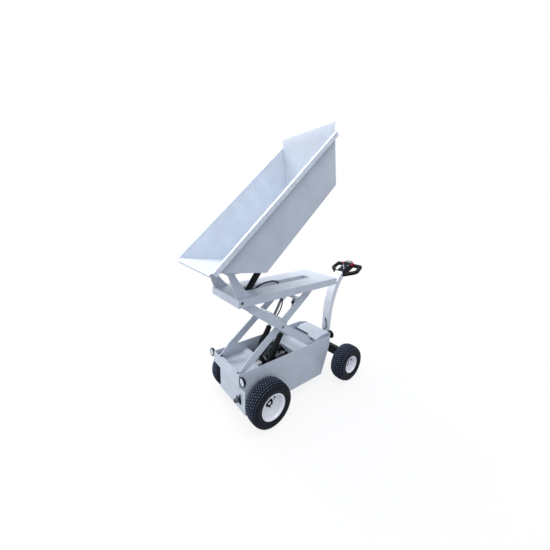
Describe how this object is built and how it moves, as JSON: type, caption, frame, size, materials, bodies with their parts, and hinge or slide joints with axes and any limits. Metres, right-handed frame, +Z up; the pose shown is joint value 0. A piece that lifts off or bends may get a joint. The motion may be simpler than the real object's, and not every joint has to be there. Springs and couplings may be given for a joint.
{
  "type": "electric dump cart with scissor lift",
  "caption": "Walk-behind electric dump cart: driven front wheels, steered rear wheels with tiller, scissor lift and a tipping hopper raised by a cylinder.",
  "frame": {"origin": "on the ground, midway between the cart's front and rear ends and its two sides", "axes": "+X to the cart's left, -Y to its front (hopper lip, lamps), +Y to the tiller, +Z up"},
  "size_m": [0.828, 1.9902, 2.5274],
  "materials": {
    "black_paint": "satin black paint",
    "black_plastic": "moulded",
    "chrome": "polished",
    "paint": "smooth light grey paint",
    "red_plastic": "moulded",
    "steel": "machined",
    "tyre": "ribbed tyre rubber",
    "white_paint": "smooth white paint",
    "white_plastic": "moulded"
  },
  "bodies": {
    "chassis": {"rear_axle_beam": "black_paint", "transaxle": "black_paint", "headlight_left": "black_plastic", "headlight_right": "black_plastic", "valve_block": "steel", "pump_motor": "black_paint", "tub_side_left": "paint", "tub_side_right": "paint", "horn": "black_plastic", "isolator_switch": "black_plastic", "arm_foot_shaft": "steel", "cylinder_foot_shaft": "steel", "front_deck": "paint", "tub_rear": "paint", "tub_pan": "paint", "hydraulic_tank": "white_plastic", "rear_deck": "paint", "rear_cover": "paint", "connector_block": "black_plastic", "controller_box": "black_plastic", "battery_block": "black_plastic"},
    "front_wheel_left": {"front_tyre_left": "tyre", "front_rim_left": "white_paint"},
    "front_wheel_right": {"front_tyre_right": "tyre", "front_rim_right": "white_paint"},
    "rear_wheel_left": {"rear_tyre_left": "tyre", "rear_rim_left": "white_paint"},
    "rear_wheel_right": {"rear_tyre_right": "tyre", "rear_rim_right": "white_paint"},
    "knuckle_left": {"knuckle_left": "black_paint"},
    "knuckle_right": {"knuckle_right": "black_paint"},
    "tie_rod": {"tie_rod": "steel"},
    "tiller": {"tiller_arm": "white_paint", "tiller_handle": "black_plastic", "stop_button_left": "red_plastic", "stop_button_right": "red_plastic"},
    "inner_arms": {"inner_arm_left": "paint", "inner_arm_right": "paint", "inner_cross_tube": "paint", "inner_stay_tube": "paint"},
    "outer_arms": {"outer_arm_left": "paint", "outer_arm_right": "paint", "outer_cross_tube": "paint"},
    "lift_barrels": {"lift_barrel_left": "black_paint", "lift_barrel_right": "black_paint"},
    "lift_rods": {"lift_rod_left": "chrome", "lift_rod_right": "chrome"},
    "platform": {"platform_deck": "paint", "hinge_upright_left": "paint", "hinge_upright_right": "paint"},
    "dump_barrel": {"dump_barrel": "black_paint"},
    "dump_rod": {"dump_rod": "chrome"},
    "hopper": {"hopper_ear_left": "paint", "hopper_ear_right": "paint", "hopper_underframe": "paint", "hopper_side_left": "paint", "hopper_side_right": "paint", "hopper_front": "paint", "hopper_rear": "paint", "hopper_floor": "paint"}
  },
  "joints": [
    {"name": "front_wheel_spin_left", "type": "hinge", "parent": "chassis", "child": "front_wheel_left", "pos_m": [0.321, -0.49831, 0.205], "axis": [1, 0, 0], "continuous": true},
    {"name": "front_wheel_spin_right", "type": "hinge", "parent": "chassis", "child": "front_wheel_right", "pos_m": [-0.321, -0.49831, 0.205], "axis": [1, 0, 0], "continuous": true},
    {"name": "tiller_steer", "type": "hinge", "parent": "chassis", "child": "tiller", "pos_m": [0, 0.61469, 0.312], "axis": [0, 0, 1], "range_deg": [-30, 30]},
    {"name": "knuckle_steer_left", "type": "hinge", "parent": "chassis", "child": "knuckle_left", "pos_m": [0.235, 0.55669, 0.195], "axis": [0, 0, 1], "range_deg": [-30.5, 30.5]},
    {"name": "knuckle_steer_right", "type": "hinge", "parent": "chassis", "child": "knuckle_right", "pos_m": [-0.235, 0.55669, 0.195], "axis": [0, 0, 1], "range_deg": [-30.5, 30.5]},
    {"name": "tie_rod_swing", "type": "hinge", "parent": "knuckle_left", "child": "tie_rod", "pos_m": [0.235, 0.65669, 0.18], "axis": [0, 0, 1], "range_deg": [-30.5, 30.5]},
    {"name": "rear_wheel_spin_left", "type": "hinge", "parent": "knuckle_left", "child": "rear_wheel_left", "pos_m": [0.339, 0.55669, 0.195], "axis": [1, 0, 0], "continuous": true},
    {"name": "rear_wheel_spin_right", "type": "hinge", "parent": "knuckle_right", "child": "rear_wheel_right", "pos_m": [-0.339, 0.55669, 0.195], "axis": [1, 0, 0], "continuous": true},
    {"name": "lift", "type": "hinge", "parent": "chassis", "child": "inner_arms", "pos_m": [0, -0.69231, 0.461], "axis": [1, 0, 0], "range_deg": [-27.6, 0]},
    {"name": "arm_cross", "type": "hinge", "parent": "inner_arms", "child": "outer_arms", "pos_m": [0, -0.25831, 0.78567], "axis": [1, 0, 0], "range_deg": [0, 55.6]},
    {"name": "platform_level", "type": "hinge", "parent": "outer_arms", "child": "platform", "pos_m": [0, -0.69231, 1.11034], "axis": [1, 0, 0], "range_deg": [-27.9, 0]},
    {"name": "lift_cylinder_swing", "type": "hinge", "parent": "chassis", "child": "lift_barrels", "pos_m": [0, -0.40031, 0.29], "axis": [1, 0, 0], "range_deg": [-31.81, 0]},
    {"name": "lift_cylinder_stroke", "type": "slide", "parent": "lift_barrels", "child": "lift_rods", "axis": [0, 0.5142, 0.8577], "range_m": [-0.158, 0]},
    {"name": "hopper_tip", "type": "hinge", "parent": "platform", "child": "hopper", "pos_m": [0, -0.76831, 1.35034], "axis": [1, 0, 0], "range_deg": [-42.5, 0]},
    {"name": "dump_cylinder_swing", "type": "hinge", "parent": "platform", "child": "dump_barrel", "pos_m": [0, -0.51831, 1.09034], "axis": [1, 0, 0], "range_deg": [-47.96, 0]},
    {"name": "dump_cylinder_stroke", "type": "slide", "parent": "dump_barrel", "child": "dump_rod", "axis": [0, 0.5939, 0.8045], "range_m": [-0.2568, 0]}
  ],
  "couplings": [
    {"joint": "knuckle_steer_left", "follows": "tiller_steer", "ratio": 1},
    {"joint": "knuckle_steer_right", "follows": "tiller_steer", "ratio": 1},
    {"joint": "tie_rod_swing", "follows": "tiller_steer", "ratio": -1},
    {"joint": "arm_cross", "follows": "lift", "ratio": -2},
    {"joint": "platform_level", "follows": "lift", "ratio": 1},
    {"joint": "lift_cylinder_swing", "follows": "lift", "ratio": 1.1415},
    {"joint": "lift_cylinder_stroke", "follows": "lift", "m_per_rad": 0.32177},
    {"joint": "dump_cylinder_swing", "follows": "hopper_tip", "ratio": 1.1213},
    {"joint": "dump_cylinder_stroke", "follows": "hopper_tip", "m_per_rad": 0.34215}
  ]
}
